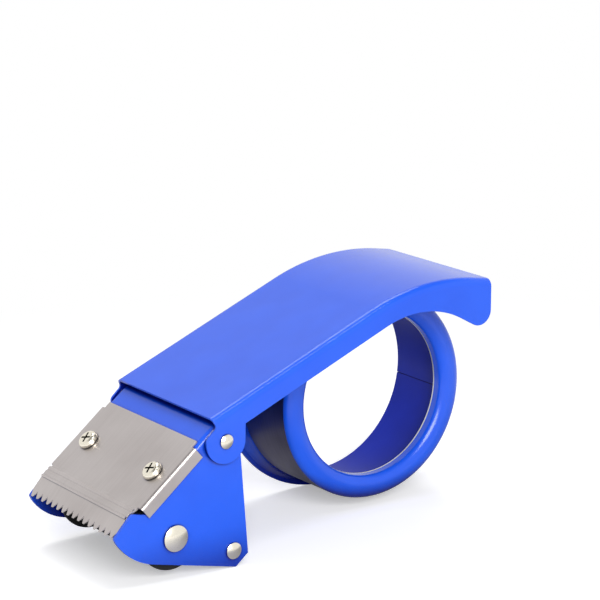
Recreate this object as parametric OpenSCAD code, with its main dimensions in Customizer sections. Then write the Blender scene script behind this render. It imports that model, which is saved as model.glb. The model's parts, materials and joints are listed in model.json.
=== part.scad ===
// Handheld metal dispenser for 48 mm carton sealing tape.
// Millimetres. Origin on the roll hub's axis, in the middle of the width.
// The cutter points along -X, +Z is up, and the roll is slid on from the -Y side.

/* [Roll hub] */
// Bore of the tape roll's cardboard core
core_bore = 76.2; // [74:0.2:79]
// Radial play between the core and the drum
core_play = 0.7; // [0.4:0.1:1.5]
// Height of the end flange above the drum
flange_h = 2.7; // [2:0.1:4]
// Length of the hub from the grip rim to the flange's outer face
hub_len = 32.3; // [29:0.1:38]
// Wall of the rolled drum strip
drum_t = 0.8; // [0.6:0.1:1.2]
// Half-round radius of the grip rim
grip_r = 4.1; // [3:0.1:5]
// Sheet of the two pressed rims
rim_t = 1.0; // [0.8:0.1:1.2]
// How far each rim's skirt reaches into the drum
skirt_len = 4.5; // [3:0.5:6]
// Length of the flared end of the hub
flare_len = 6.8; // [5:0.1:8]
// Open joint in the rolled strip
seam_w = 0.3; // [0.2:0.1:0.6]
// Angle of the strip's joint, from the rear towards the top
seam_angle = -8; // [-60:1:60]

/* [Head frame] */
// Width over the two side plates
head_w = 57.5; // [55:0.1:60]
// Sheet of the head frame
plate_t = 1.2; // [1:0.1:1.5]
// Outer bend radius between front plate and side plates
bend_r = 1.8; // [1.6:0.1:2.4]
// Handle pivot, distance in front of the hub's axis
pivot_front = 77.9; // [74:0.1:84]
// Handle pivot, height above the hub's axis
pivot_up = 3.4; // [2:0.1:5]
// Foot of the side plate behind the pivot
heel_back = 9.2; // [8:0.1:11]
// Length of the heel's chamfer along X
heel_cham_x = 4.8; // [3:0.1:6]
// Height of the heel's chamfer
heel_cham_z = 3.6; // [2:0.1:5]
// Rise of the side plate's lower edge towards the nose
sole_rise = 6.4; // [4:0.1:8]
// Length of the side plate's lower edge
sole_len = 31.9; // [28:0.1:34]
// Bulge of the curve between lower edge and nose
nose_bulge = 1.3; // [0.5:0.1:2]
// Height of the hub arm where it leaves the head
arm_h = 31; // [24:1:34]
// Gap between the arm's upper edge and the handle's sheet
arm_drop = 6.5; // [5:0.5:9]
// Angle round the hub where the arm's lower edge ends
arm_end_angle = 212; // [205:1:216]

/* [Handle] */
// Width over the handle's flanks
handle_w = 62; // [61.4:0.1:66]
// Sheet of the handle
handle_t = 0.9; // [0.7:0.1:1.1]
// Outer radius along the handle's long edges
edge_r = 2.6; // [2:0.1:4]
// Slope of the handle's front part
slope = 21.3; // [19:0.1:23]
// Radius of the crown between slope and level end
crown_r = 48; // [36:1:60]
// Height of the level rear part above the hub's axis
level_up = 44.1; // [43.4:0.1:46]
// Rear end of the handle behind the hub's axis
handle_rear = 30; // [26:0.5:36]
// Front edge of the handle in front of the pivot
handle_front = 4.9; // [4:0.1:5.5]
// Radius of the ear round the pivot
ear_r = 7.7; // [7:0.1:8.5]
// Fillet between the front edge and the ear
ear_fillet = 3; // [2:0.1:4]
// Height of the flank's corner above the pivot, behind the ear
web_up = 5.2; // [4.6:0.1:6]
// Depth of the rear lobe below the level top
lobe_h = 17.2; // [14:0.1:19]
// Corner radius of the rear lobe
lobe_r = 3; // [2:0.1:4]
// Radius of the arch between flank and lobe
arch_r = 15; // [10:0.5:18]
// Depth of the flank at the arch, below the top
arch_depth = 6; // [5:0.1:7]

/* [Cutter] */
// Slope of the cutter plate, down to the front
cut_angle = 39.4; // [36:0.1:42]
// Cutter surface above the pivot, square to its slope
cut_up = 6.5; // [6.2:0.1:7.5]
// Start of the cutter's wings in front of the pivot, along the slope
cut_front = 9.4; // [8:0.1:11]
// Stainless sheet of the cutter
cut_t = 0.7; // [0.5:0.1:0.8]
// Length of the cutter's wings
wing_len = 26.1; // [24:0.1:28]
// Depth of the cutter's wings
wing_h = 4.6; // [3.5:0.1:6]
// Outer bend radius of the wings
wing_r = 1.2; // [1:0.1:1.6]
// Length of the tongue above the wings
tongue_len = 3.5; // [2:0.1:4.5]
// Width of the tongue and of the toothed edge
blade_w = 54.6; // [48:0.1:54.8]
// Length of the raised step in front of the wings
step_len = 3.5; // [2.5:0.1:4.5]
// Height of the raised step
step_h = 0.85; // [0.4:0.05:1.2]
// Length of the toothed strip in front of the step
blade_len = 9.4; // [8:0.1:11]
// Drop of the toothed strip along its length
blade_drop = 1.56; // [1:0.02:2.2]
// Thickness at the tip of the teeth
tip_t = 0.25; // [0.2:0.05:0.4]
// Length of the ground bevel behind the tips
grind_len = 3; // [2:0.5:4]
// Number of teeth
teeth = 16; // [12:1:20]
// Depth of the teeth
tooth_h = 2.3; // [1.5:0.1:3]
// Distance between the two cutter screws
screw_span = 40.8; // [34:0.2:44]
// Distance of the screws from the start of the wings
screw_down = 13.2; // [10:0.1:16]
// Thread diameter of the cutter screws
screw_d = 4; // [3:0.5:4]
// Head diameter of the cutter screws
screw_head_d = 7.4; // [6:0.2:8]

/* [Roller] */
// Diameter of the rubber roller
roller_d = 27.2; // [25:0.2:29]
// Roller axle, distance in front of the pivot
axle_front = 18.7; // [17:0.1:20]
// Diameter of the roller's hard core
core_d = 19; // [16:0.5:21]
// Diameter of the roller axle
axle_d = 6; // [5:0.5:7]
// Diameter of the axle's riveted heads
axle_head_d = 9.4; // [8:0.2:11]
// Sheet of the roller's thrust washers
thrust_t = 0.8; // [0.5:0.1:1.2]
// Diameter of the roller's thrust washers
thrust_d = 12; // [10:0.5:14]

/* [Guide and rivets] */
// Guide pin, height above the sole
guide_up = 4.9; // [4.6:0.1:6]
// Guide pin, distance behind the pivot
guide_back = 3.5; // [2:0.1:4.5]
// Diameter of the guide pin
guide_d = 4; // [3:0.5:4.5]
// Diameter of the turning guide sleeve
sleeve_d = 8.4; // [7:0.2:9]
// Diameter of the guide pin's riveted heads
guide_head_d = 6; // [5.5:0.2:7]
// Diameter of the pivot rivets
rivet_d = 4; // [3:0.5:4.5]
// Diameter of the pivot rivets' heads
rivet_head_d = 6; // [5.5:0.2:7]
// Height of the riveted heads
rivet_head_h = 1.3; // [1:0.1:1.6]
// Diameter of the pivot's spacer washers
spacer_d = 10; // [8:0.5:11]

/* [Clearances] */
// Radial clearance of pins and shafts in their holes
pin_play = 0.05; // [0.02:0.01:0.09]
// Gap between faces that lie side by side
face_gap = 0.05; // [0.02:0.01:0.1]
// End play of the roller and the sleeve, each side
end_play = 0.2; // [0.1:0.05:0.4]
// Gap between the closed handle and the hub's flange
rest_gap = 0.3; // [0.2:0.05:0.5]

/* [Hidden] */
fine = 96;
cut_over = 1;

// Hub: radii, and places along Y
drum_r = core_bore / 2 - core_play;
flange_r = drum_r + flange_h;
hub_out_y = head_w / 2;
hub_in_y = hub_out_y - hub_len;
grip_y = hub_in_y + grip_r;
drum_start_y = grip_y + face_gap;
drum_end_y = hub_out_y - flare_len - face_gap;
skirt_r = drum_r - drum_t - face_gap;
flare_r = (flange_h * flange_h + flare_len * flare_len) / (2 * flange_h);
ground_z = -flange_r;

// Head: pivot, axle and guide pin in the side view
pivot = [-pivot_front, pivot_up];
axle = [pivot[0] - axle_front, ground_z + roller_d / 2];
guide = [pivot[0] + guide_back, ground_z + guide_up];
side_in = head_w / 2 - plate_t;

// Cutter: slope directions, and the start of the wings
down_slope = [-cos(cut_angle), -sin(cut_angle)];
off_slope = [-sin(cut_angle), cos(cut_angle)];
wing_start = pivot + cut_up * off_slope + cut_front * down_slope;
front_v = -cut_t - face_gap;
front_len = wing_len + 0.9;
blade_end = wing_len + step_len + blade_len;
knuckle_r = cut_up + front_v;
cover_u = -cut_front + 2.4;
nose_end = blade_end + 0.1;
wing_w = head_w + 2 * (cut_t + face_gap);
lock_t = 0.9;
nut_h = 3.2;
nut_flats = 1.75 * screw_d;

// Handle: the sloped sheet just clears the hub's flange
under_d = flange_r + rest_gap;
top_d = under_d + handle_t;
handle_in = handle_w / 2 - handle_t;
slope_end = (level_up - crown_r - (top_d - crown_r) * cos(slope)) / sin(slope);
crown = [slope_end * cos(slope) - (top_d - crown_r) * sin(slope), level_up - crown_r];
front_x = pivot[0] - handle_front;

// Points on an arc, degrees, ends included
function arc(c, r, a, b, n = 16) =
    [for (i = [0:n]) c + r * [cos(a + (b - a) * i / n), sin(a + (b - a) * i / n)]];

// Arc that rounds the corner b between the points a and c
function corner(a, b, c, r, n = 10) =
    let (u = (a - b) / norm(a - b), w = (c - b) / norm(c - b))
    let (half = acos(u * w) / 2, m = (u + w) / norm(u + w), o = b + m * r / sin(half))
    let (p = b + u * r / tan(half), q = b + w * r / tan(half))
    let (s = atan2(p[1] - o[1], p[0] - o[0]), e = atan2(q[1] - o[1], q[0] - o[0]))
    let (turn = (e - s) - 360 * round((e - s) / 360))
    arc(o, r, s, s + turn, n);

// Shallow bow from p to q that bulges by s to the left
function bow(p, q, s, n = 10) =
    let (l = norm(q - p), r = (l * l / 4 + s * s) / (2 * s), d = (q - p) / l)
    let (o = (p + q) / 2 + (s - r) * [-d[1], d[0]])
    let (a = atan2(p[1] - o[1], p[0] - o[0]), b = atan2(q[1] - o[1], q[0] - o[0]))
    arc(o, r, a, a + (b - a) - 360 * round((b - a) / 360), n);

// Side-view point on the cutter's slope, u down the slope and v off it
function on_slope(u, v) = wing_start + u * down_slope + v * off_slope;

// Height of the handle's top, less d, at x on its slope
function slope_z(x, d = 0) = (top_d - d + x * sin(slope)) / cos(slope);

// A side-view outline made solid between two places along Y
module along_y(y0, y1)
    translate([0, y1, 0]) rotate([90, 0, 0]) linear_extrude(height = y1 - y0) children();

// An end-view section made solid between two places along X
module along_x(x0, x1)
    translate([x0, 0, 0]) rotate([90, 0, 90]) linear_extrude(height = x1 - x0) children();

// A section of radius and Y turned round the hub's axis or another
module round_y() rotate([90, 0, 0]) mirror([0, 0, 1]) rotate_extrude($fn = fine) children();

// A round bar or hole along Y
module bar_y(p, r, y0, y1)
    translate([p[0], y1, p[1]]) rotate([90, 0, 0]) cylinder(h = y1 - y0, r = r, $fn = fine);

// The cutter's own frame: X down the slope, Z off the plate
module cutter_frame()
    translate([wing_start[0], 0, wing_start[1]]) rotate([0, -cut_angle, 0]) rotate([0, 0, 180]) children();

// Block with two round upper edges, its top at zero
module crowned_2d(w, h, r) {
    translate([-w / 2, -h]) square([w, h - r]);
    translate([-w / 2 + r, -h]) square([w - 2 * r, h]);
    for (s = [-1, 1]) translate([s * (w / 2 - r), -r]) circle(r = r, $fn = fine);
}

// Folded channel section, its top at zero and its legs down
module channel_2d(w, leg, t, r) {
    difference() {
        crowned_2d(w, leg, r);
        translate([0, -t]) crowned_2d(w - 2 * t, leg + cut_over, r - t);
    }
}

// Riveted pin along Y with a domed head at each end that is asked for
module rivet(p, r, y0, y1, head_r, head_h) {
    bar_y(p, r, y0, y1);
    for (side = [[y0, -1], [y1, 1]])
        translate([p[0], side[0], p[1]]) rotate([-90 * side[1], 0, 0]) dome(head_r, head_h);
}

// Domed rivet head on a straight land
module dome(r, h) {
    land = h * 0.35;
    rise = h - land;
    ball = (r * r + rise * rise) / (2 * rise);
    cylinder(h = land, r = r, $fn = fine);
    translate([0, 0, land]) rotate_extrude($fn = fine) intersection() {
        translate([0, rise - ball]) circle(r = ball, $fn = fine * 2);
        square([r, rise]);
    }
}

module ring_y(p, r, hole, y0, y1) {
    difference() {
        bar_y(p, r, y0, y1);
        bar_y(p, hole, y0 - cut_over, y1 + cut_over);
    }
}

// Side view of the handle: ear, web, arch and rear lobe, with open space above the top
function handle_outline() =
    let (fillet_c = [front_x - ear_fillet,
        pivot[1] + sqrt(pow(ear_r + ear_fillet, 2) - pow(handle_front + ear_fillet, 2))])
    let (meet = atan2(fillet_c[1] - pivot[1], fillet_c[0] - pivot[0]))
    let (heel = pivot + [ear_r, web_up], waist = [-52, slope_z(-52, 7.1)])
    let (peak = [-5.7, slope_z(-5.7, arch_depth * cos(slope)) + 1.6])
    let (lobe = [handle_rear, level_up - lobe_h - 1.6], over = level_up + 20)
    concat(
        [[front_x, over]],
        arc(fillet_c, ear_fillet, 0, meet - 180, 8),
        arc(pivot, ear_r, meet, 360, 32),
        [heel],
        corner(heel, waist, peak, 60, 6),
        corner(waist, peak, lobe, arch_r, 12),
        corner(peak, lobe, [handle_rear, over], lobe_r, 10),
        [[handle_rear, over]]);

// Body with a crowned top and round long edges, d below the handle's top
module crowned_body(w, d, r) {
    bends = 3;
    half = arc([w / 2 - r, -r], r, 0, 90, 8);
    other = [for (i = [len(half) - 1:-1:0]) [-half[i][0], half[i][1]]];
    intersection_for(i = [0:bends])
        translate([crown[0], 0, crown[1]]) rotate([0, -slope * i / bends, 0])
            translate([0, 0, crown_r - d]) along_x(-150, 90)
            polygon(concat([[w / 2, -90]], half, other, [[-w / 2, -90]]));
}

module handle_shell() color([0.13, 0.33, 0.95]) {
    difference() {
        intersection() {
            crowned_body(handle_w, 0, edge_r);
            along_y(-handle_w, handle_w) polygon(handle_outline());
        }
        crowned_body(handle_w - 2 * handle_t, handle_t, edge_r - handle_t);
        bar_y(pivot, rivet_d / 2 + pin_play, -handle_w, handle_w);
    }
}

// Outline shared by both side plates of the head
module cheek_2d() {
    sole_z = ground_z;
    heel = pivot[0] + heel_back;
    toe = [heel - heel_cham_x - sole_len, sole_z + sole_rise];
    tip = on_slope(nose_end, -0.5);
    edge_v = front_v - bend_r - 0.7;
    polygon(concat(
        arc(pivot, knuckle_r, 0, 90 + cut_angle, 20),
        [on_slope(-cut_front + 1, edge_v), on_slope(front_len, edge_v)],
        [on_slope(front_len + 0.4, 0), on_slope(nose_end - 3.4, 0.3)],
        corner(on_slope(nose_end - 3.4, 0.3), tip, toe, 1, 5),
        bow(on_slope(nose_end + 0.1, -2.2), toe, nose_bulge, 12),
        [[heel - heel_cham_x, sole_z], [heel, sole_z + heel_cham_z]]));
}

// Arm that carries the hub, on the right side plate only
module arm_2d() {
    top_a = 90 + slope + 6;
    low = flange_r * [cos(arm_end_angle), sin(arm_end_angle)];
    foot = pivot[0] + 6;
    difference() {
        polygon([
            [foot, slope_z(foot, handle_t + arm_drop)],
            (top_d - handle_t - arm_drop) * [cos(top_a), sin(top_a)] + [0, 1],
            [-20, 0],
            low + [4, 0],
            low,
            [foot, slope_z(foot, handle_t + arm_drop) - arm_h]]);
        circle(r = flange_r + face_gap, $fn = fine * 2);
    }
}

module head_frame() color([0.13, 0.33, 0.95]) {
    difference() {
        union() {
            cutter_frame() translate([0, 0, front_v])
                along_x(cover_u, front_len) channel_2d(head_w, bend_r + 1.4, plate_t, bend_r);
            along_y(-head_w / 2, -side_in) cheek_2d();
            along_y(side_in, head_w / 2) {
                cheek_2d();
                arm_2d();
            }
        }
        bar_y(pivot, rivet_d / 2 + pin_play, -head_w, head_w);
        bar_y(axle, axle_d / 2 + pin_play, -head_w, head_w);
        bar_y(guide, guide_d / 2 + pin_play, -head_w, head_w);
        screw_holes();
    }
}

// The two clearance holes of the cutter screws
module screw_holes()
    cutter_frame() for (s = [-1, 1]) translate([screw_down, s * screw_span / 2, -plate_t - 5])
        cylinder(h = plate_t + 10, r = screw_d / 2 + pin_play, $fn = fine);

// Side view of the cutter's sheet in front of its wings, with the ground tip
module blade_2d() {
    a = [wing_len, 0];
    b = [wing_len + step_len, step_h];
    c = [blade_end, step_h - blade_drop];
    g = c + (b - c) * grind_len / blade_len;
    polygon([[-tongue_len, 0], a, b, c, c + [0, -tip_t], g + [0, -cut_t], b + [0, -cut_t],
        a + [0, -cut_t], [-tongue_len, -cut_t]]);
}

module cutter_plate() color([0.75, 0.74, 0.73]) {
    pitch = blade_w / teeth;
    difference() {
        union() {
            cutter_frame() along_y(-blade_w / 2, blade_w / 2) blade_2d();
            cutter_frame() along_x(0, wing_len) channel_2d(wing_w, wing_h, cut_t, wing_r);
        }
        cutter_frame() for (i = [0:teeth]) translate([0, (i - teeth / 2) * pitch, -3])
            linear_extrude(height = 6)
                polygon([[blade_end - tooth_h, 0], [blade_end + 0.4, -pitch * 0.44],
                    [blade_end + 0.4, pitch * 0.44]]);
        screw_holes();
    }
}

module cutter_screws() color([0.82, 0.81, 0.78]) {
    drop = plate_t - front_v + lock_t + nut_h + 0.6;
    cutter_frame() for (s = [-1, 1]) translate([screw_down, s * screw_span / 2, 0]) difference() {
        union() {
            translate([0, 0, -drop]) cylinder(h = drop + 0.1, r = screw_d / 2, $fn = fine);
            dome(screw_head_d / 2, 0.62 * screw_d);
        }
        for (a = [0, 90]) rotate([0, 0, a + 20])
            translate([-screw_d * 0.5, -0.4, 0.24 * screw_d]) cube([screw_d, 0.8, screw_d]);
    }
}

module cutter_lock_washers() color([0.7, 0.7, 0.7])
    cutter_frame() for (s = [-1, 1])
        translate([screw_down, s * screw_span / 2, front_v - plate_t - lock_t]) difference() {
            cylinder(h = lock_t, r = 0.9 * screw_d, $fn = fine);
            translate([0, 0, -1]) cylinder(h = lock_t + 2, r = screw_d / 2 + pin_play, $fn = fine);
            translate([0, -0.25, -1]) cube([screw_d, 0.5, lock_t + 2]);
        }

module cutter_nuts() color([0.7, 0.7, 0.7])
    cutter_frame() for (s = [-1, 1])
        translate([screw_down, s * screw_span / 2, front_v - plate_t - lock_t - nut_h]) difference() {
            cylinder(h = nut_h, r = nut_flats / sqrt(3), $fn = 6);
            translate([0, 0, -1]) cylinder(h = nut_h + 2, r = screw_d / 2 + pin_play, $fn = fine);
        }

// Half length of the roller, inside its thrust washers
roller_half = side_in - thrust_t - 2 * end_play;

module roller_tyre() color([0.05, 0.05, 0.05])
    translate([axle[0], 0, axle[1]]) round_y() difference() {
        translate([core_d / 2, -roller_half]) square([(roller_d - core_d) / 2, 2 * roller_half]);
        for (s = [-1, 1]) translate([roller_d / 2, s * roller_half]) rotate(45)
            square([1, 1], center = true);
    }

module roller_core() color([0.85, 0.85, 0.82])
    translate([axle[0], 0, axle[1]]) round_y() difference() {
        translate([axle_d / 2 + pin_play, -roller_half])
            square([(core_d - axle_d) / 2 - pin_play - face_gap, 2 * roller_half]);
        for (s = [-1, 1]) translate([axle_d / 2 + 2, s * roller_half - 6])
            square([(core_d - axle_d) / 2 - 4, 12]);
    }

module roller_axle() color([0.85, 0.84, 0.8])
    rivet(axle, axle_d / 2, -head_w / 2 - face_gap, head_w / 2 + face_gap, axle_head_d / 2,
        rivet_head_h * 1.3);

module thrust_washer(s)
    ring_y(axle, thrust_d / 2, axle_d / 2 + pin_play,
        s > 0 ? side_in - thrust_t - end_play / 2 : -side_in + end_play / 2,
        s > 0 ? side_in - end_play / 2 : -side_in + thrust_t + end_play / 2);

module thrust_washer_left() color([0.9, 0.9, 0.88]) thrust_washer(-1);
module thrust_washer_right() color([0.9, 0.9, 0.88]) thrust_washer(1);

module guide_pin() color([0.85, 0.84, 0.8])
    rivet(guide, guide_d / 2, -head_w / 2 - face_gap, head_w / 2 + face_gap, guide_head_d / 2,
        rivet_head_h);

module guide_sleeve() color([0.7, 0.7, 0.7])
    ring_y(guide, sleeve_d / 2, guide_d / 2 + pin_play, -side_in + end_play, side_in - end_play);

// Pivot rivet of one side: head outside the ear, formed head inside the side plate
module pivot_rivet(s)
    mirror([0, s < 0 ? 1 : 0, 0])
        rivet(pivot, rivet_d / 2, side_in - face_gap, handle_w / 2 + face_gap, rivet_head_d / 2,
            rivet_head_h);

module pivot_rivet_left() color([0.9, 0.88, 0.8]) pivot_rivet(-1);
module pivot_rivet_right() color([0.9, 0.88, 0.8]) pivot_rivet(1);

// Spacer washer between a side plate and the handle's ear
module pivot_spacer(s)
    mirror([0, s < 0 ? 1 : 0, 0])
        ring_y(pivot, spacer_d / 2, rivet_d / 2 + pin_play, head_w / 2 + face_gap,
            handle_in - 2 * face_gap);

module pivot_spacer_left() color([0.75, 0.75, 0.73]) pivot_spacer(-1);
module pivot_spacer_right() color([0.75, 0.75, 0.73]) pivot_spacer(1);

// Drum rolled from a strip, with an open joint
module hub_drum() color([0.62, 0.62, 0.64]) {
    difference() {
        round_y() translate([drum_r - drum_t, drum_start_y])
            square([drum_t, drum_end_y - drum_start_y]);
        rotate([0, -seam_angle, 0]) translate([drum_r - drum_t - 1, -hub_len, -seam_w / 2])
            cube([drum_t + 2, 3 * hub_len, seam_w]);
    }
}

// Pressed grip rim: a half-round nose turned into the bore, and a skirt in the drum
module hub_grip_rim() color([0.13, 0.33, 0.95]) {
    nose = [drum_r - grip_r, grip_y];
    lip_cut = grip_r * 0.3;
    round_y() {
        difference() {
            translate(nose) circle(r = grip_r, $fn = fine);
            translate(nose) circle(r = grip_r - rim_t, $fn = fine);
            translate([nose[0] - grip_r - 1, nose[1]]) square([2 * grip_r + 2, grip_r + 1]);
            translate([nose[0] - grip_r - 1, nose[1] - lip_cut]) square([grip_r + 1, grip_r]);
        }
        translate([skirt_r - rim_t, grip_y - 0.4 * grip_r])
            square([rim_t, skirt_len + 0.4 * grip_r]);
    }
}

// Pressed flange rim: flared end with a flat edge, and a skirt in the drum
module hub_flange_rim() color([0.13, 0.33, 0.95]) {
    bell = [drum_r + flare_r, drum_end_y + face_gap];
    round_y() {
        intersection() {
            difference() {
                translate(bell) circle(r = flare_r + rim_t, $fn = fine * 2);
                translate(bell) circle(r = flare_r, $fn = fine * 2);
            }
            translate([skirt_r - rim_t, bell[1]])
                square([flange_r - skirt_r + rim_t, flare_len]);
        }
        translate([flange_r - 1.4, hub_out_y - plate_t]) square([1.4, plate_t]);
        translate([skirt_r - rim_t, bell[1] - skirt_len]) square([rim_t, skirt_len + 1.5]);
    }
}

handle_shell();
head_frame();
cutter_plate();
cutter_screws();
cutter_lock_washers();
cutter_nuts();
roller_tyre();
roller_core();
roller_axle();
thrust_washer_left();
thrust_washer_right();
guide_pin();
guide_sleeve();
pivot_rivet_left();
pivot_rivet_right();
pivot_spacer_left();
pivot_spacer_right();
hub_drum();
hub_grip_rim();
hub_flange_rim();
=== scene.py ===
"""Handheld metal dispenser for carton sealing tape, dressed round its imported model."""

import json
import logging
import math
from dataclasses import dataclass, field
from enum import Enum
from typing import ClassVar

import bmesh
import bpy
from mathutils import Matrix, Vector


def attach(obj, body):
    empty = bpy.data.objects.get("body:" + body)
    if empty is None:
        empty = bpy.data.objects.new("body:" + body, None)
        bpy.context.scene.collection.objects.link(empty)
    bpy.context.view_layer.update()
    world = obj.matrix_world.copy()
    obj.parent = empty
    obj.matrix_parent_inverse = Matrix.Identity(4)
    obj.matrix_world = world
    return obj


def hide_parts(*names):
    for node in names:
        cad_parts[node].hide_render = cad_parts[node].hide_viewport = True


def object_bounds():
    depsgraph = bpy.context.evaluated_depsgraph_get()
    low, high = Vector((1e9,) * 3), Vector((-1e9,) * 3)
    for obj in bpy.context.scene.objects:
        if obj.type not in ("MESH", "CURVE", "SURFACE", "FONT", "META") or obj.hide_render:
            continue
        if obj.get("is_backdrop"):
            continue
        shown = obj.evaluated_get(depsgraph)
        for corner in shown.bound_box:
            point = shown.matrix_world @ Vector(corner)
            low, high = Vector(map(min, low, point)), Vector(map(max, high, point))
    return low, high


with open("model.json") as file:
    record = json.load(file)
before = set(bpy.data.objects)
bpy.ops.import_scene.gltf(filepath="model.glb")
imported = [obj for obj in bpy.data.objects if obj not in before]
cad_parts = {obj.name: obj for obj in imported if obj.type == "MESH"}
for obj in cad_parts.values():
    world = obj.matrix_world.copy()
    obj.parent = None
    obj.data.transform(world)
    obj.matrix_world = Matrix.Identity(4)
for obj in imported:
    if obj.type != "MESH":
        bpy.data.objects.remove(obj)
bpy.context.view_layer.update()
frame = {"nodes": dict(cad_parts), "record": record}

MM = 0.001
LOG = logging.getLogger("tape_dispenser")

Point = tuple[float, float]
Place = tuple[float, float, float]
Colour = tuple[float, float, float]
Piece = bpy.types.Object
Node = bpy.types.Node
Socket = bpy.types.NodeSocket

UNIT = (0.0, 1.0)
WHITE = (1.0, 1.0, 1.0)
# Share of red, green and blue that a finish keeps deep in a fold, where shade is painted into its colour
FOLD_SHADE = (0.05, 0.09, 0.28)
# Distance under which two vertices count as one, in metres
DOUBLE = 0.000001
# Shares of a rivet head's height: its straight land, and the groove at its foot
DOME_LAND, DOME_GROOVE = 0.35, 0.12
# Largest angle between faces that count as flat, in degrees
FLAT = 0.5
# How far a drill runs past a sheet at each end, in millimetres
PAST = 1.0
# Steps round a hub ring, round a small hole, and round a large one for each millimetre of radius
RING_STEPS, HOLE_STEPS, STEPS_PER_MM = 144, 48, 3.5


class Side(Enum):
    """Side of the tool as its user holds it, by the sign of Y."""

    LEFT = -1
    RIGHT = 1


@dataclass(frozen=True)
class Graph:
    """Shader nodes of a material or world."""

    tree: bpy.types.NodeTree

    def feed(self, into: Socket, value: object) -> None:
        """Links another node's output to an input, or sets the input's own value.

        Args:
            into: The input's socket.
            value: The output's socket, or the value.
        """
        if isinstance(value, Socket):
            self.tree.links.new(value, into)
        else:
            into.default_value = value

    def put(self, node: Node, **values: object) -> Node:
        """Feeds a node's inputs by name and sets its properties.

        Args:
            node: The node.
            values: What each input or property gets, with spaces in its name as underscores.

        Returns:
            The same node.
        """
        for key, value in values.items():
            into = node.inputs.get(key.replace("_", " "))
            if into is None:
                setattr(node, key, value)
            else:
                self.feed(into, value)
        return node

    def add(self, kind: str, **values: object) -> Node:
        """Adds a node of a kind, with inputs and properties by name."""
        return self.put(self.tree.nodes.new(kind), **values)

    def combined(self, kind: str, *terms: object, out: int = 0, **values: object) -> Socket:
        """Combines outputs or values by a new node whose inputs go by place.

        Args:
            kind: The node's type.
            terms: What its inputs get, in order.
            out: Place of the output that is the result.
            values: What its properties get.

        Returns:
            The result's socket.
        """
        node = self.add(kind, **values)
        for into, term in zip(node.inputs, terms):
            self.feed(into, term)
        return node.outputs[out]

    def pattern(self, stretch: Place = (1.0, 1.0, 1.0), tilt: float = 0.0) -> Socket:
        """Gives Object coordinates turned about Y and stretched, for a pattern in a metal's grain.

        Args:
            stretch: Scale of the pattern along each axis.
            tilt: Turn about Y in radians.

        Returns:
            The vector socket.
        """
        place = self.add("ShaderNodeTexCoord").outputs["Object"]
        return self.add("ShaderNodeMapping", Vector=place, Rotation=(0.0, tilt, 0.0),
                        Scale=stretch).outputs["Vector"]

    def noise(self, vector: Socket, scale: float, detail: float, rough: float = 0.5) -> Socket:
        """Gives a cloudy pattern.

        Args:
            vector: The place's socket.
            scale: Scale of the pattern.
            detail: Number of finer layers.
            rough: Strength of each finer layer.

        Returns:
            The pattern's socket.
        """
        return self.add("ShaderNodeTexNoise", Vector=vector, Scale=scale, Detail=detail,
                        Roughness=rough).outputs["Fac"]

    def ramp(self, value: Socket, stops: Point, colours: tuple[Colour, Colour]) -> Socket:
        """Turns a value into a colour from the first of two to the second.

        Args:
            value: The value's socket.
            stops: Values at which the first colour ends and the second starts.
            colours: The two linear colours.

        Returns:
            The colour's socket.
        """
        node = self.add("ShaderNodeValToRGB", Fac=value)
        for element, stop, colour in zip(node.color_ramp.elements, stops, colours):
            element.position = stop
            element.color = (*colour, 1.0)
        return node.outputs["Color"]

    def ranged(self, value: Socket, result: Point, span: Point = UNIT, soft: bool = False) -> Socket:
        """Maps a span of a value to a range of results.

        Args:
            value: The value's socket.
            result: Results at the span's start and end.
            span: Values at its start and end.
            soft: Whether the result is eased at both ends.

        Returns:
            The result's socket.
        """
        return self.add("ShaderNodeMapRange", Value=value, From_Min=span[0], From_Max=span[1],
                        To_Min=result[0], To_Max=result[1],
                        interpolation_type="SMOOTHSTEP" if soft else "LINEAR").outputs["Result"]

    def bumped(self, height: Socket, relief: Point, **under: Socket) -> Socket:
        """Gives a pattern's relief.

        Args:
            height: The pattern's socket.
            relief: Its strength, and its depth in metres.
            under: A coarser relief that it lies on, as Normal.

        Returns:
            The normal's socket.
        """
        return self.add("ShaderNodeBump", Height=height, Strength=relief[0], Distance=relief[1],
                        **under).outputs["Normal"]

    def exposure(self, reach: float) -> Socket:
        """Gives how far a surface is open to its surroundings within a reach in metres."""
        return self.add("ShaderNodeAmbientOcclusion", Distance=reach).outputs["AO"]

    def painted_fold_shade(self, colour: Socket, reach: float, stops: Point) -> Socket:
        """Paints shade into a colour, darkening it in folds and recesses.

        Args:
            colour: The colour's socket.
            reach: How far away a neighbour still shelters the surface, in metres.
            stops: Openness at which the colour is darkest, and at which it is full.

        Returns:
            The darkened colour's socket.
        """
        light = self.ramp(self.exposure(reach), stops, (FOLD_SHADE, WHITE))
        return self.combined("ShaderNodeVectorMath", colour, light, operation="MULTIPLY")


@dataclass(frozen=True)
class Finish:
    """Finish of a surface, with its material's name. Reliefs are a strength and a depth in metres."""

    name: str

    def make(self) -> bpy.types.Material:
        """Makes the material and fills in its nodes.

        Returns:
            The material.
        """
        material = bpy.data.materials.new(self.name)
        material.use_nodes = True
        self.fill(Graph(material.node_tree), material.node_tree.nodes["Principled BSDF"])
        return material

    def fill(self, graph: Graph, shader: Node) -> None:
        """Adds the finish's nodes to the graph and feeds the principled shader with them."""
        raise NotImplementedError


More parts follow.
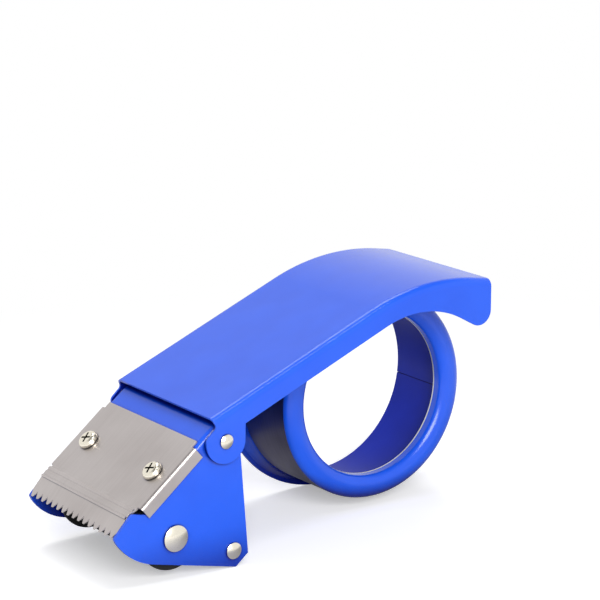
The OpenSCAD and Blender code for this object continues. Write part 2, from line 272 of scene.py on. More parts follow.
@dataclass(frozen=True)
class Enamel(Finish):
    """Glossy blue stoving enamel on steel sheet, with the faint orange peel of sprayed paint and painted
    shade in its folds.
    """

    name: str = "blue_enamel"
    colour: Colour = (0.012, 0.11, 0.84)
    deep: Colour = (0.01, 0.098, 0.78)
    gloss: float = 0.5
    rough: Point = (0.16, 0.24)
    cloud: Point = (60.0, 2.0)
    peel: Point = (900.0, 1.5)
    shade_stops: Point = (0.3, 0.7)
    peel_relief: Point = (0.05, 0.0002)
    wave_relief: Point = (0.1, 0.001)
    # Painted shade in folds and under overhangs: reach of a fold's shelter, and the openness where the
    # shade is darkest and where it ends
    shelter: float = 0.022
    shade_openness: Point = (0.4, 0.88)

    def fill(self, graph: Graph, shader: Node) -> None:
        """Clouds the colour, paints shade into its folds and under overhangs, and lays orange peel on
        broad waves.

        Args:
            graph: The material's nodes.
            shader: Its principled shader.
        """
        place = graph.pattern()
        cloud, peel = graph.noise(place, *self.cloud), graph.noise(place, *self.peel)
        colour = graph.ramp(cloud, self.shade_stops, (self.deep, self.colour))
        waves = graph.bumped(cloud, self.wave_relief)
        graph.put(shader, Base_Color=graph.painted_fold_shade(colour, self.shelter, self.shade_openness),
                  Roughness=graph.ranged(peel, self.rough), Specular_IOR_Level=self.gloss,
                  Normal=graph.bumped(peel, self.peel_relief, Normal=waves))


@dataclass(frozen=True)
class RolledSteel(Finish):
    """Bare steel sheet with rolling lines along one axis and broad cloudy stains."""

    colour: Colour
    shade: Colour
    grain: Place
    tilt: float
    rough: Point
    grain_noise: Place = (1.0, 4.0, 0.6)
    stains: Point = (55.0, 2.0)
    grain_share: float = 0.45
    shade_stops: Point = (0.35, 0.62)
    grain_relief: Point = (0.12, 0.0001)
    # Painted shade round small parts and along creases: reach of a fold's shelter, and the openness where
    # the shade is darkest and where it ends
    shelter: float = 0.0015
    shade_openness: Point = (0.2, 0.8)

    def fill(self, graph: Graph, shader: Node) -> None:
        """Shades the sheet by rolling lines and stains together, paints shade round small parts and in
        creases, and roughens it along the lines.

        Args:
            graph: The material's nodes.
            shader: Its principled shader.
        """
        grain = graph.noise(graph.pattern(self.grain, self.tilt), *self.grain_noise)
        stains = graph.noise(graph.pattern(), *self.stains)
        weak = graph.combined("ShaderNodeMath", stains, 1.0 - self.grain_share, operation="MULTIPLY")
        both = graph.combined("ShaderNodeMath", grain, self.grain_share, weak,
                              operation="MULTIPLY_ADD")
        colour = graph.ramp(both, self.shade_stops, (self.shade, self.colour))
        graph.put(shader, Base_Color=graph.painted_fold_shade(colour, self.shelter, self.shade_openness),
                  Roughness=graph.ranged(grain, self.rough), Metallic=1.0,
                  Normal=graph.bumped(grain, self.grain_relief))


@dataclass(frozen=True)
class Plating(Finish):
    """Nickel or zinc plating on a small turned or stamped part, with painted shade in its recesses."""

    colour: Colour
    rough: Point
    cloud: Point = (500.0, 2.0)
    # Painted shade in recesses: reach, openness where the shade is darkest and where it ends, and share of
    # the colour kept there
    reach: float = 0.0016
    shade_openness: Point = (0.45, 0.9)
    recess_shade_share: float = 0.06

    def fill(self, graph: Graph, shader: Node) -> None:
        """Paints shade into the recesses and clouds the roughness.

        Args:
            graph: The material's nodes.
            shader: Its principled shader.
        """
        # Painted shade: the colour darkens towards the recess shade where neighbours are close
        recess_shade = tuple(self.recess_shade_share * c for c in self.colour)
        colour = graph.ramp(graph.exposure(self.reach), self.shade_openness, (recess_shade, self.colour))
        cloud = graph.noise(graph.pattern(), *self.cloud)
        graph.put(shader, Base_Color=colour, Roughness=graph.ranged(cloud, self.rough), Metallic=1.0)


@dataclass(frozen=True)
class Moulded(Finish):
    """Rubber or hard plastic with a fine matt grain."""

    colour: Colour
    worn: Colour
    rough: Point
    grain: float
    fine: Point = (1400.0, 3.0)
    wear: Point = (90.0, 2.0)
    wear_stops: Point = (0.35, 0.7)
    grain_depth: float = 0.0001
    gloss: float = 0.25

    def fill(self, graph: Graph, shader: Node) -> None:
        """Pales the worn places and roughens the surface by its grain.

        Args:
            graph: The material's nodes.
            shader: Its principled shader.
        """
        place = graph.pattern()
        fine, wear = graph.noise(place, *self.fine), graph.noise(place, *self.wear)
        graph.put(shader, Base_Color=graph.ramp(wear, self.wear_stops, (self.colour, self.worn)),
                  Roughness=graph.ranged(fine, self.rough), Specular_IOR_Level=self.gloss,
                  Normal=graph.bumped(fine, (self.grain, self.grain_depth)))


@dataclass(frozen=True)
class Sweep(Finish):
    """Pale floor that shows the tool's shadow, and is plain white beyond it."""

    name: str = "pale_floor"
    grey: Colour = (0.5, 0.5, 0.51)
    pale: Colour = (0.96, 0.96, 0.97)
    rough: float = 0.9
    gloss: float = 0.1
    # Light added to the shadow, and where the floor turns white for the camera and in mirrored rays
    lift: float = 0.35
    white_span: Point = (0.12, 0.32)
    mirror_span: Point = (0.06, 0.2)

    def fill(self, graph: Graph, shader: Node) -> None:
        """Shows the pale floor to the camera and to far mirrored rays, and the grey one to others.

        Args:
            graph: The material's nodes.
            shader: Its principled shader.
        """
        graph.put(shader, Base_Color=(*self.grey, 1.0), Roughness=self.rough,
                  Specular_IOR_Level=self.gloss)
        place = graph.add("ShaderNodeTexCoord").outputs["Object"]
        far = graph.combined("ShaderNodeVectorMath", place, out=1, operation="LENGTH")
        white, mirror = (graph.ranged(far, UNIT, span, True)
                         for span in (self.white_span, self.mirror_span))
        pale = graph.add("ShaderNodeBsdfDiffuse", Color=(*self.pale, 1.0)).outputs["BSDF"]
        lift, glow = (graph.add("ShaderNodeEmission", Strength=light).outputs["Emission"]
                      for light in (self.lift, 1.0))
        near = graph.combined("ShaderNodeAddShader", pale, lift)
        seen = graph.combined("ShaderNodeMixShader", white, near, glow)
        path = graph.add("ShaderNodeLightPath").outputs
        mirrored = graph.combined("ShaderNodeMath", path["Is Glossy Ray"], mirror,
                                  operation="MULTIPLY")
        shown = graph.combined("ShaderNodeMath", path["Is Camera Ray"], mirrored,
                               operation="MAXIMUM")
        floor = graph.combined("ShaderNodeMixShader", shown, shader.outputs["BSDF"], seen)
        graph.put(graph.tree.nodes["Material Output"], Surface=floor)


class Slot(Enum):
    """Finish of a piece, and the record's slot that it belongs to."""

    BLUE = ("enamel", "blue_paint")
    # The barrel's bore: the blue enamel darkened as painted shade
    INSIDE = ("thin enamel", "blue_paint")
    STAINLESS = ("stainless", "stainless_sheet")
    STRIP = ("strip", "bare_strip")
    NICKEL = ("nickel", "nickel_fastener")
    ZINC = ("zinc", "zinc_hardware")
    RUBBER = ("rubber", "black_rubber")
    PLASTIC = ("plastic", "hard_plastic")

    @property
    def record_name(self) -> str:
        """Name of the slot in the record."""
        return self.value[1]


class Work(Enum):
    """What a tool does to a piece."""

    JOIN = "UNION"
    CUT = "DIFFERENCE"
    TRIM = "INTERSECT"


def on_circle(centre: Point, radius: float, angle: float) -> Point:
    """Gives the point of a circle at an angle in degrees."""
    turn = math.radians(angle)
    return centre[0] + radius * math.cos(turn), centre[1] + radius * math.sin(turn)


def arc(centre: Point, radius: float, start: float, end: float, steps: int = 16) -> list[Point]:
    """Gives the points of a circle's arc.

    Args:
        centre: The circle's centre.
        radius: Its radius.
        start: Angle of the first point in degrees.
        end: Angle of the last point in degrees.
        steps: Number of steps between them.

    Returns:
        The points, both ends included.
    """
    return [on_circle(centre, radius, start + (end - start) * i / steps) for i in range(steps + 1)]


def oval(centre: Point, half: Point, start: float, end: float, steps: int = 32) -> list[Point]:
    """Gives the points of an ellipse's arc with the half axes given.

    Args:
        centre: The ellipse's centre.
        half: Its half axes.
        start: Angle of the first point in degrees.
        end: Angle of the last point in degrees.
        steps: Number of steps between them.

    Returns:
        The points, both ends included.
    """
    unit = arc((0.0, 0.0), 1.0, start, end, steps)
    return [(centre[0] + half[0] * x, centre[1] + half[1] * y) for x, y in unit]


def short_turn(start: float, end: float) -> float:
    """Gives the shorter turn from one angle to another in degrees."""
    return (end - start + 180.0) % 360.0 - 180.0


def corner(before: Point, at: Point, after: Point, radius: float, steps: int = 10) -> list[Point]:
    """Rounds the corner of an outline.

    Args:
        before: A point on the first straight.
        at: The sharp corner.
        after: A point on the second straight.
        radius: Radius of the round.
        steps: Number of steps.

    Returns:
        The points of the round.
    """
    tip = Vector(at)
    first, second = (Vector(before) - tip).normalized(), (Vector(after) - tip).normalized()
    half = first.angle(second) / 2.0
    centre = tip + (first + second).normalized() * radius / math.sin(half)
    ends = [tip + way * radius / math.tan(half) - centre for way in (first, second)]
    start, end = (math.degrees(math.atan2(e.y, e.x)) for e in ends)
    return arc(tuple(centre), radius, start, start + short_turn(start, end), steps)


def bow(start: Point, end: Point, rise: float, steps: int = 12) -> list[Point]:
    """Gives a shallow arc between two points that bulges to the right.

    Args:
        start: The first point.
        end: The last point.
        rise: Height of the bulge.
        steps: Number of steps.

    Returns:
        The points, both ends included.
    """
    first, last = Vector(start), Vector(end)
    span = last - first
    radius = (span.length_squared / 4.0 + rise * rise) / (2.0 * rise)
    left = Vector((-span.y, span.x)).normalized()
    centre = (first + last) / 2.0 + (radius - rise) * left
    angles = [math.degrees(math.atan2(p.y - centre.y, p.x - centre.x)) for p in (first, last)]
    return arc(tuple(centre), radius, angles[0], angles[0] + short_turn(*angles), steps)


def joint_place(name: str) -> Point:
    """Gives a joint's place in the side view in millimetres.

    Args:
        name: The joint's name in the record.

    Returns:
        Its X and Z.
    """
    joints = frame["record"]["behaviour"]["joints"]
    x, _, z = next(joint["pos_m"] for joint in joints if joint["name"] == name)
    return x / MM, z / MM


@dataclass(frozen=True)
class Plan:
    """Sizes in millimetres and angles in degrees that the pieces share, in the tool's side view."""

    # Handle
    handle_w: float = 60.8
    handle_t: float = 0.9
    slope: float = 22.8
    droop: float = 9.0
    crown_r: float = 80.0
    level_up: float = 44.0
    # Head
    pivot: Point = (-77.9, 2.94)
    head_w: float = 57.5
    plate_t: float = 1.2
    bend_r: float = 1.8
    # Cutter
    cut_angle: float = 39.4
    cut_up: float = 6.9
    cut_front: float = 9.1
    cut_t: float = 0.7
    wing_len: float = 26.1
    blade_end: float = 39.0
    # Hub
    drum_r: float = 37.4
    drum_t: float = 0.8
    flange_r: float = 41.0
    grip_y: float = -3.45
    seam: float = -8.0
    flare_len: float = 6.8
    # Shanks of pivot rivet, roller axle and guide pin
    rivet_r: float = 1.5
    axle_r: float = 3.0
    guide_r: float = 1.75
    # Broken edges of sheet and of small parts
    sheet_edge: float = 0.15
    fine_edge: float = 0.08
    # Gap between faces that lie side by side, and the handle's clearance over the hub
    gap: float = 0.05
    top_gap: float = 0.3

    @property
    def top_d(self) -> float:
        """Distance of the handle's sloped top from the hub's axis."""
        return self.flange_r + self.top_gap + self.handle_t

    @property
    def crown(self) -> Point:
        """Centre of the handle's crown.

        Returns:
            Its X and Z.
        """
        slope, rest = math.radians(self.slope), self.top_d - self.crown_r
        along = (self.level_up - self.crown_r - rest * math.cos(slope)) / math.sin(slope)
        return along * math.cos(slope) - rest * math.sin(slope), self.level_up - self.crown_r

    @property
    def side_in(self) -> float:
        """Half the width between the head's side plates."""
        return self.head_w / 2.0 - self.plate_t

    @property
    def barrel_r(self) -> float:
        """Outer radius of the hub's barrel."""
        return self.drum_r - self.drum_t - self.gap

    @property
    def band_end(self) -> float:
        """Place along Y where the running band ends and the flange starts."""
        return self.head_w / 2.0 - self.flare_len - self.gap

    @property
    def knuckle_r(self) -> float:
        """Radius of the front plate's roll over the pivot."""
        return self.cut_up - self.cut_t - self.gap

    def slope_z(self, x: float, under: float = 0.0) -> float:
        """Gives the height of the handle's sloped top, or of a line under it, at X."""
        slope = math.radians(self.slope)
        return (self.top_d - under + x * math.sin(slope)) / math.cos(slope)

    def on_cutter(self, along: float, off: float) -> Point:
        """Gives a side-view point by its place down the cutter's slope and off its surface.

        Args:
            along: Place down the slope from the cutter's upper edge.
            off: Height off its surface.

        Returns:
            X and Z of the point.
        """
        tilt = math.radians(self.cut_angle)
        down, out = along + self.cut_front, off + self.cut_up
        return (self.pivot[0] - down * math.cos(tilt) - out * math.sin(tilt),
                self.pivot[1] - down * math.sin(tilt) + out * math.cos(tilt))


PLAN = Plan()
FINISHES: dict[Slot, Finish] = {
    Slot.BLUE: Enamel(),
    # Darker copy of the blue enamel, as painted shade in the hub's bore
    Slot.INSIDE: Enamel("shaded_blue_enamel", (0.004, 0.022, 0.42), (0.003, 0.018, 0.36), gloss=0.12),
    Slot.STAINLESS: RolledSteel("stainless_sheet", (0.55, 0.51, 0.5), (0.47, 0.43, 0.42),
                                (60.0, 3500.0, 60.0), math.radians(PLAN.cut_angle), (0.3, 0.42)),
    # Bare strip darkened and tinted purple as painted shade under the handle and painted reflection of the
    # blue paint
    Slot.STRIP: RolledSteel("cold_rolled_strip", (0.2, 0.19, 0.26), (0.12, 0.11, 0.17),
                            (40.0, 3000.0, 40.0), 0.0, (0.35, 0.5)),
    Slot.NICKEL: Plating("nickel_plate", (0.84, 0.79, 0.67), (0.2, 0.26)),
    Slot.ZINC: Plating("zinc_plate", (0.62, 0.63, 0.65), (0.25, 0.45)),
    Slot.RUBBER: Moulded("black_rubber", (0.008, 0.008, 0.009), (0.018, 0.018, 0.02), (0.5, 0.7),
                         0.2),
    Slot.PLASTIC: Moulded("hard_plastic", (0.02, 0.02, 0.021), (0.032, 0.032, 0.034), (0.35, 0.5),
                          0.08),
}


def select_only(piece: Piece) -> None:
    """Makes a piece the only selected and the active one.

    Args:
        piece: The piece.
    """
    bpy.ops.object.select_all(action="DESELECT")
    piece.select_set(True)
    bpy.context.view_layer.objects.active = piece


def apply_modifiers(piece: Piece) -> None:
    """Applies all of a piece's modifiers in order.

    Args:
        piece: The piece.
    """
    select_only(piece)
    for modifier in list(piece.modifiers):
        bpy.ops.object.modifier_apply(modifier=modifier.name)


def edit_all() -> None:
    """Enters edit mode on the active piece with all of it selected."""
    bpy.ops.object.mode_set(mode="EDIT")
    bpy.ops.mesh.select_all(action="SELECT")


def closed(piece: Piece) -> Piece:
    """Leaves edit mode, merges a closed piece's doubles and turns its faces outwards.

    Args:
        piece: The closed piece.

    Returns:
        The same piece.
    """
    bpy.ops.object.mode_set(mode="OBJECT")
    select_only(piece)
    edit_all()
    bpy.ops.mesh.remove_doubles(threshold=DOUBLE)
    bpy.ops.mesh.delete_loose()
    bpy.ops.mesh.select_all(action="SELECT")
    bpy.ops.mesh.normals_make_consistent(inside=False)
    if bmesh.from_edit_mesh(piece.data).calc_volume(signed=True) < 0.0:
        bpy.ops.mesh.flip_normals()
    bpy.ops.object.mode_set(mode="OBJECT")
    return piece


def extrude(step: Vector) -> None:
    """Extrudes the selected face by a step in metres, unless the step is zero."""
    if step.length:
        bpy.ops.mesh.extrude_region_move(TRANSFORM_OT_translate={"value": step})


def spin(steps: int, turn: float, centre: Point) -> None:
    """Spins the selected section by a turn in degrees, round an axis along Y.

    Args:
        steps: Number of steps.
        turn: The turn in degrees.
        centre: X and Z of the axis in millimetres.
    """
    bpy.ops.mesh.spin(steps=steps, angle=math.radians(turn), axis=(0.0, 1.0, 0.0),
                      center=(centre[0] * MM, 0.0, centre[1] * MM))


def outline(name: str, points: list[Place], filled: bool) -> Piece:
    """Adds a ring with one vertex for each point, in edit mode with all of it selected.

    Args:
        name: The new piece's name.
        points: The points in millimetres.
        filled: Whether the ring gets a face.

    Returns:
        The new piece.
    """
    bpy.ops.object.select_all(action="DESELECT")
    bpy.ops.mesh.primitive_circle_add(vertices=len(points), fill_type="NGON" if filled else "NOTHING")
    piece = bpy.context.object
    piece.name = name
    for vertex, point in zip(piece.data.vertices, points):
        vertex.co = Vector(point) * MM
    edit_all()
    return piece


def plate(name: str, side_view: list[Point], start: float, end: float) -> Piece:
    """Extrudes a side-view outline along Y.

    Args:
        name: The new piece's name.
        side_view: The outline as X and Z in millimetres.
        start: Y of the first face.
        end: Y of the last face.

    Returns:
        The closed plate.
    """
    piece = outline(name, [(x, start, z) for x, z in side_view], True)
    extrude(Vector((0.0, (end - start) * MM, 0.0)))
    return closed(piece)


def wall(inner: float, outer: float, low: float, high: float) -> list[Point]:
    """Gives the profile of a straight ring wall by its two radii and its Y at both ends."""
    return [(inner, low), (outer, low), (outer, high), (inner, high)]


def turned(name: str, profile: list[Point], axis: Point = (0.0, 0.0), steps: int = 96) -> Piece:
    """Turns a closed profile round an axis along Y.

    Args:
        name: The new piece's name.
        profile: The profile as radius and Y in millimetres.
        axis: X and Z of the axis.
        steps: Number of steps round it.

    Returns:
        The closed piece.
    """
    piece = outline(name, [(axis[0] + r, y, axis[1]) for r, y in profile], False)
    spin(steps, 360.0, axis)
    return closed(piece)


def rolled(name: str, profile: list[Point], seam: float, slit: float, steps: int = 120) -> Piece:
    """Rolls a strip round the hub's axis, with an open joint.

    Args:
        name: The new piece's name.
        profile: The strip's section as radius and Y in millimetres.
        seam: Angle of the joint in degrees.
        slit: Width of the joint in millimetres.
        steps: Number of steps round the axis.

    Returns:
        The closed strip.
    """
    half = math.degrees(slit / 2.0 / profile[0][0])
    way = on_circle((0.0, 0.0), 1.0, seam + half)
    piece = outline(name, [(r * way[0], y, r * way[1]) for r, y in profile], True)
    spin(steps, 360.0 - 2.0 * half, (0.0, 0.0))
    return closed(piece)


def swept(name: str, section: list[Point], centre: Point, radius: float, turn: Point,
          straights: Point, steps: int = 32) -> Piece:
    """Draws a section along a straight, round a bend and along a second straight.

    Args:
        name: The new piece's name.
        section: The section as Y and height over the bend's surface in millimetres.
        centre: X and Z of the bend's centre.
        radius: Radius of the bend's surface.
        turn: Angles of the bend's start and end in degrees, seen from the left.
        straights: Lengths of the straights before and after the bend.
        steps: Number of steps round the bend.

    Returns:
        The closed bar.
    """
    way = 1.0 if turn[1] > turn[0] else -1.0
    start, end = (Vector((math.cos(angle), 0.0, math.sin(angle))) for angle in map(math.radians, turn))
    enter, leave = (Vector((-out.z, 0.0, out.x)) * way for out in (start, end))
    middle = Vector((centre[0], 0.0, centre[1]))
    places = [middle + start * (radius + h) - enter * straights[0] for _, h in section]
    piece = outline(name, [(p.x, y, p.z) for p, (y, _) in zip(places, section)], True)
    extrude(enter * straights[0] * MM)
    spin(steps, turn[1] - turn[0], centre)
    extrude(leave * straights[1] * MM)
    return closed(piece)


def combine(piece: Piece, tool: Piece, work: Work) -> None:
    """Joins, cuts or trims a piece with a tool, which is then deleted.

    Args:
        piece: The piece that is changed.
        tool: The closed tool.
        work: What the tool does.
    """
    modifier = piece.modifiers.new(work.name, "BOOLEAN")
    modifier.operation = work.value
    modifier.object = tool
    modifier.solver = "EXACT"
    bpy.context.view_layer.update()
    apply_modifiers(piece)
    bpy.data.objects.remove(tool)


def drill(piece: Piece, axis: Point, radius: float, start: float, end: float) -> None:
    """Cuts a round hole along Y.

    Args:
        piece: The piece that gets the hole.
        axis: X and Z of the hole.
        radius: Its radius.
        start: Y of its start.
        end: Y of its end.
    """
    steps = max(HOLE_STEPS, round(STEPS_PER_MM * radius))
    bar = turned("drill", wall(0.0, radius, start, end), axis, steps)
    combine(piece, bar, Work.CUT)


def groove(piece: Piece, place: Matrix, size: tuple[float, float, float]) -> None:
    """Cuts a rectangular groove.

    Args:
        piece: The piece that gets the groove.
        place: The groove's place, in metres.
        size: Its sizes in millimetres.
    """
    bpy.ops.object.select_all(action="DESELECT")
    bpy.ops.mesh.primitive_cube_add(size=1.0)
    tool = bpy.context.object
    tool.matrix_world = place @ Matrix.Diagonal((size[0] * MM, size[1] * MM, size[2] * MM, 1.0))
    combine(piece, tool, Work.CUT)


def eased(piece: Piece, edge: float = 0.0, smooth: float = 35.0,
          whole_faces: bool = False) -> Piece:
    """Breaks a piece's sharp edges and shades the rest smooth.

    Args:
        piece: The piece.
        edge: Width of the broken edge in millimetres, or 0.
        smooth: Largest angle that is shaded smooth, in degrees.
        whole_faces: Whether flat areas become single faces, which suits all but round pieces.

    Returns:
        The same piece.
    """
    select_only(piece)
    edit_all()
    bpy.ops.mesh.remove_doubles(threshold=DOUBLE)
    if whole_faces:
        bpy.ops.mesh.dissolve_limited(angle_limit=math.radians(FLAT))
    bpy.ops.object.mode_set(mode="OBJECT")
    if edge:
        bevel = piece.modifiers.new("broken_edge", "BEVEL")
        bevel.width = edge * MM
        bevel.segments = 2
        bevel.limit_method = "ANGLE"
        bevel.angle_limit = math.radians(smooth)
        bevel.use_clamp_overlap = True
        apply_modifiers(piece)
    bpy.ops.object.shade_smooth_by_angle(angle=math.radians(smooth))
    piece.modifiers.new("weighted_normal", "WEIGHTED_NORMAL").keep_sharp = True
    apply_modifiers(piece)
    return piece


def dome(radius: float, height: float, foot: float, way: int) -> list[Point]:
    """Gives the profile of a domed rivet head on a straight land with a groove at its foot.

    Args:
        radius: The head's radius.
        height: Its height.
        foot: Y of its foot.
        way: 1 or -1, the way in which it stands along Y.

    Returns:
        Radius and Y of each point, from the foot's edge to the top.
    """
    land, groove = DOME_LAND * height, DOME_GROOVE * height
    rise = height - land
    ball = (radius * radius + rise * rise) / (2.0 * rise)
    spread = math.degrees(math.asin(radius / ball))
    cap = arc((0.0, land + rise - ball), ball, 90.0 - spread, 90.0, 12)
    return [(radius - groove, foot), (radius - groove, foot + way * groove),
            (radius, foot + way * 2.0 * groove)] + [(r, foot + way * y) for r, y in cap]


def riveted_pin(name: str, axis: Point, shank: float, span: Point, head: Point) -> Piece:
    """Makes a pin along Y with a domed head at each end.

    Args:
        name: The new piece's name.
        axis: X and Z of the pin.
        shank: Radius of the shank.
        span: Y of the two heads' feet.
        head: Radius and height of the heads.

    Returns:
        The closed pin.
    """
    low = dome(head[0], head[1], span[0], -1)
    high = dome(head[0], head[1], span[1], 1)
    profile = low[::-1] + [(shank, span[0]), (shank, span[1])] + high
    return turned(name, profile, axis, 64)


@dataclass
class Assembly:
    """Part of the tool that is built and dressed as one, sized in millimetres and degrees."""

    built: list[Piece] = field(default_factory=list, init=False)
    materials: ClassVar[dict[Slot, bpy.types.Material]] = {}

    def dress(self, piece: Piece, slot: Slot, body: str, node: str = "") -> None:
        """Gives a finished piece its finish and its body, and hides the node that it stands for, if any.

        Args:
            piece: The finished piece.
            slot: Its finish.
            body: The body that it rides on.
            node: Name of the node that it replaces.
        """
        if slot not in self.materials:
            self.materials[slot] = FINISHES[slot].make()
        piece.data.materials.clear()
        piece.data.materials.append(self.materials[slot])
        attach(piece, body)
        if node:
            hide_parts(node)
        self.built.append(piece)

    def node_copy(self, node: str, name: str) -> Piece:
        """Copies a node's mesh into a new piece.

        Args:
            node: The node's name.
            name: The new piece's name.

        Returns:
            The new piece.
        """
        piece = bpy.data.objects.new(name, frame["nodes"][node].data.copy())
        bpy.context.scene.collection.objects.link(piece)
        select_only(piece)
        bpy.ops.mesh.customdata_custom_splitnormals_clear()
        return piece


@dataclass
class Handle(Assembly):
    """The hinged handle: one sheet with round long edges, ears, arched flanks and rear lobes."""

    # Front edge before the pivot, rear edge behind the hub's axis, round of the long edges
    front: float = 4.9
    rear: float = 30.8
    edge_r: float = 2.6
    # Ear and the notch before it
    ear_r: float = 7.5
    ear_turn: Point = (168.0, 350.0)
    notch_h: float = 3.3
    notch_r: float = 1.2
    ear_blend: float = 2.0
    ear_play: float = 0.5
    # Flank, its arch and the rear lobe
    flank_h: float = 7.8
    lobe_h: float = 17.7
    lobe_r: float = 5.0
    lobe_slope: float = 29.0
    arch_r: float = 36.0
    # Straights before and after the crown, and room over the side view
    top_run: Point = (130.0, 60.0)
    open_over: float = 40.0

    def section(self, width: float, radius: float, depth: float = 50.0) -> list[Point]:
        """Gives an end view with round upper corners and its top at zero.

        Args:
            width: The body's width.
            radius: Radius of the upper corners.
            depth: Depth of the body.

        Returns:
            The section as Y and height.
        """
        right = arc((width / 2.0 - radius, -radius), radius, 0.0, 90.0, 8)
        left = [(-y, h) for y, h in reversed(right)]
        return [(width / 2.0, -depth)] + right + left + [(-width / 2.0, -depth)]

    def side_view(self) -> list[Point]:
        """Gives the outline of ear, flank, arch and lobe, with open space above the top.

        Returns:
            The outline as X and Z.
        """
        slope, lobe_tan = math.radians(PLAN.slope), math.tan(math.radians(self.lobe_slope))
        front = PLAN.pivot[0] - self.front
        edge = (front, PLAN.slope_z(front))
        down = (math.sin(slope), -math.cos(slope))
        notch = (edge[0] + self.notch_h * down[0], edge[1] + self.notch_h * down[1])
        ear = arc(PLAN.pivot, self.ear_r, *self.ear_turn, 40)
        behind = PLAN.pivot[0] + self.ear_r
        lift = self.lobe_r * (1.0 - math.tan(math.radians(45.0 + self.lobe_slope / 2.0)))
        lobe = (self.rear, PLAN.level_up - self.lobe_h + lift)
        peak_x = (lobe[1] + self.rear * lobe_tan - PLAN.slope_z(0.0, self.flank_h)) / (
            math.tan(slope) + lobe_tan)
        heel = (behind, PLAN.slope_z(behind, self.flank_h))
        peak = (peak_x, PLAN.slope_z(peak_x, self.flank_h))
        over = 2.0 * PLAN.level_up
        return [(edge[0] - self.open_over * down[0], edge[1] - self.open_over * down[1]),
                *corner(edge, notch, ear[0], self.notch_r, 8),
                *corner(notch, ear[0], ear[1], self.ear_blend, 5),
                *ear[2:],
                heel,
                *corner(heel, peak, lobe, self.arch_r, 24),
                *corner(peak, lobe, (self.rear, over), self.lobe_r, 16),
                (self.rear, over)]

    def body(self, name: str, width: float, under: float, radius: float) -> Piece:
        """Makes a solid body under the crowned top.

        Args:
            name: The body's name.
            width: Its width.
            under: Depth of its top under the handle's top.
            radius: Radius of its long edges.

        Returns:
            The body.
        """
        return swept(name, self.section(width, radius), PLAN.crown, PLAN.crown_r - under,
                     (90.0 + PLAN.slope, 90.0 - PLAN.droop), self.top_run, 40)

    def build(self) -> None:
        """Builds the handle's sheet."""
        sheet = self.body("handle_sheet", PLAN.handle_w, 0.0, self.edge_r)
        past = PLAN.handle_w
        combine(sheet, plate("handle_side", self.side_view(), -past, past), Work.TRIM)
        inner = self.body("handle_inside", PLAN.handle_w - 2.0 * PLAN.handle_t, PLAN.handle_t,
                          self.edge_r - PLAN.handle_t)
        combine(sheet, inner, Work.CUT)
        drill(sheet, PLAN.pivot, PLAN.rivet_r + self.ear_play, -past, past)
        self.dress(eased(sheet, PLAN.sheet_edge, whole_faces=True), Slot.BLUE, "handle", "handle_shell")


